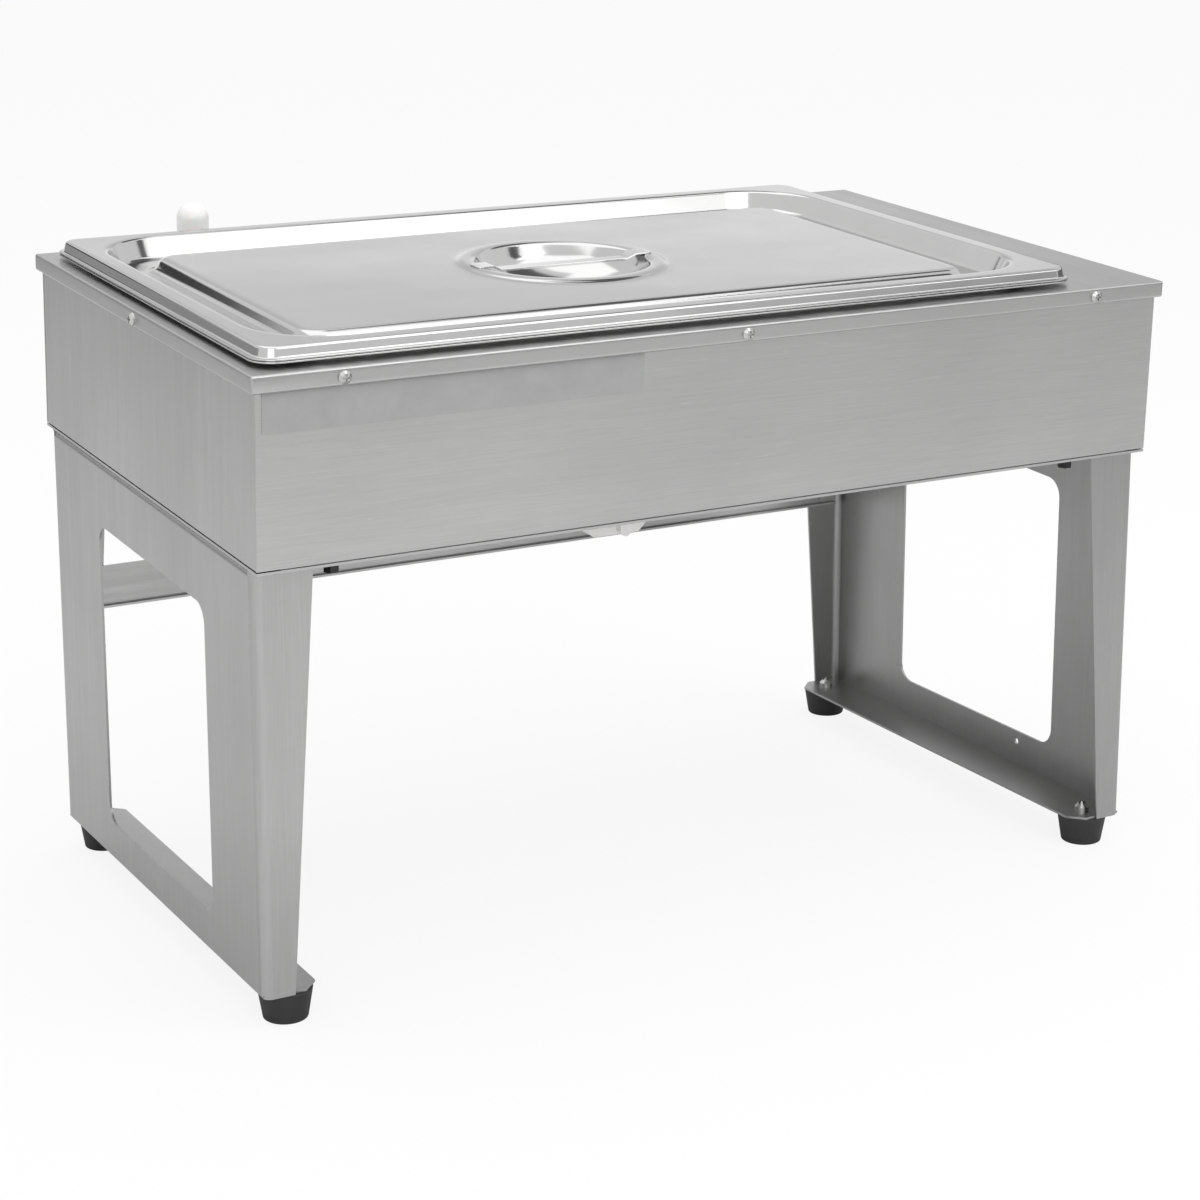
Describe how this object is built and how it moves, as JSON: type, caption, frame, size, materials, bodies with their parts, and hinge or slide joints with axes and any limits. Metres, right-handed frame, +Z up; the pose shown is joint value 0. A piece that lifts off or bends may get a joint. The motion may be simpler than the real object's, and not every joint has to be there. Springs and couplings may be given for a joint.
{
  "type": "chocolate melting tank",
  "caption": "Water-jacketed stainless melting tank with a lift-out pan and lid, filler neck, drain cock and thermostat, on folded sheet legs with rubber feet.",
  "frame": {"origin": "on the floor, under the middle of the whole object's box", "axes": "+X to the right along the tank, +Y to the rear, +Z up; the tank slopes forward on level legs"},
  "size_m": [0.6164, 0.373, 0.4029],
  "materials": {
    "stainless": "brushed stainless sheet",
    "polished_steel": "polished stainless sheet",
    "white_plastic": "smooth white plastic",
    "black_rubber": "matt black rubber",
    "black_bolt": "blackened steel",
    "zinc": "zinc-plated steel",
    "black_plastic": "matt black plastic",
    "red_plastic": "smooth red plastic",
    "amber_lens": "amber lens",
    "heater_rubber": "silicone rubber",
    "insulation": "mineral fibre board",
    "copper": "bare copper",
    "cream_plastic": "matt cream plastic",
    "wire_cover": "red wire insulation"
  },
  "bodies": {
    "base": {"left_leg_frame": "stainless", "right_leg_frame": "stainless", "rear_brace": "stainless", "bottom_plate": "stainless", "front_panel": "stainless", "rear_panel": "stainless", "left_panel": "stainless", "right_panel": "stainless", "top_plate": "stainless", "tub_bottom": "stainless", "tub_front": "stainless", "tub_rear": "stainless", "tub_left": "stainless", "tub_right": "stainless", "bay_divider": "stainless", "dial_plate": "stainless", "drain_spigot": "white_plastic", "drain_nut": "white_plastic", "drain_body": "white_plastic", "filler_elbow": "white_plastic", "filler_nut": "white_plastic", "foot_front_left": "black_rubber", "foot_front_right": "black_rubber", "foot_rear_left": "black_rubber", "foot_rear_right": "black_rubber", "drain_gasket": "black_rubber", "filler_gasket": "black_rubber", "leg_bolts": "black_bolt", "cover_screws": "zinc", "brace_screws": "zinc", "brace_nuts": "zinc", "foot_screws": "zinc", "leg_nuts": "zinc", "thermostat_nut": "zinc", "inlet_screws": "zinc", "thermostat": "black_plastic", "power_switch": "black_plastic", "power_inlet": "black_plastic", "pilot_lamp": "amber_lens", "heater_pad": "heater_rubber", "insulation_board": "insulation", "sensor_bulb": "copper", "terminal_block": "cream_plastic", "wiring": "wire_cover"},
    "pan": {"pan": "polished_steel"},
    "lid": {"lid": "polished_steel", "lid_handle": "polished_steel"},
    "drain_plug": {"drain_plug": "white_plastic", "plug_ring": "zinc"},
    "filler_cap": {"filler_cap": "white_plastic"},
    "thermostat_knob": {"thermostat_shaft": "zinc", "thermostat_knob": "black_plastic"},
    "power_rocker": {"power_rocker": "red_plastic"}
  },
  "joints": [
    {"name": "pan_lift", "type": "slide", "parent": "base", "child": "pan", "axis": [0, -0.0427, 0.9991], "range_m": [0, 0.1]},
    {"name": "lid_lift", "type": "slide", "parent": "pan", "child": "lid", "axis": [0, -0.0427, 0.9991], "range_m": [0, 0.12]},
    {"name": "drain_turn", "type": "hinge", "parent": "base", "child": "drain_plug", "pos_m": [-0.0418, -0.07738, 0.24294], "axis": [0, 0.9991, 0.0427], "range_deg": [0, 90]},
    {"name": "filler_cap_pull", "type": "slide", "parent": "base", "child": "filler_cap", "axis": [0, -0.0427, 0.9991], "range_m": [0, 0.03]},
    {"name": "thermostat_turn", "type": "hinge", "parent": "base", "child": "thermostat_knob", "pos_m": [0.2967, -0.07867, 0.31995], "axis": [1, 0, 0], "range_deg": [0, 270]},
    {"name": "power_rocker_tip", "type": "hinge", "parent": "base", "child": "power_rocker", "pos_m": [0.2857, -0.00874, 0.32295], "axis": [0, -0.9991, -0.0427], "range_deg": [0, 18]}
  ]
}
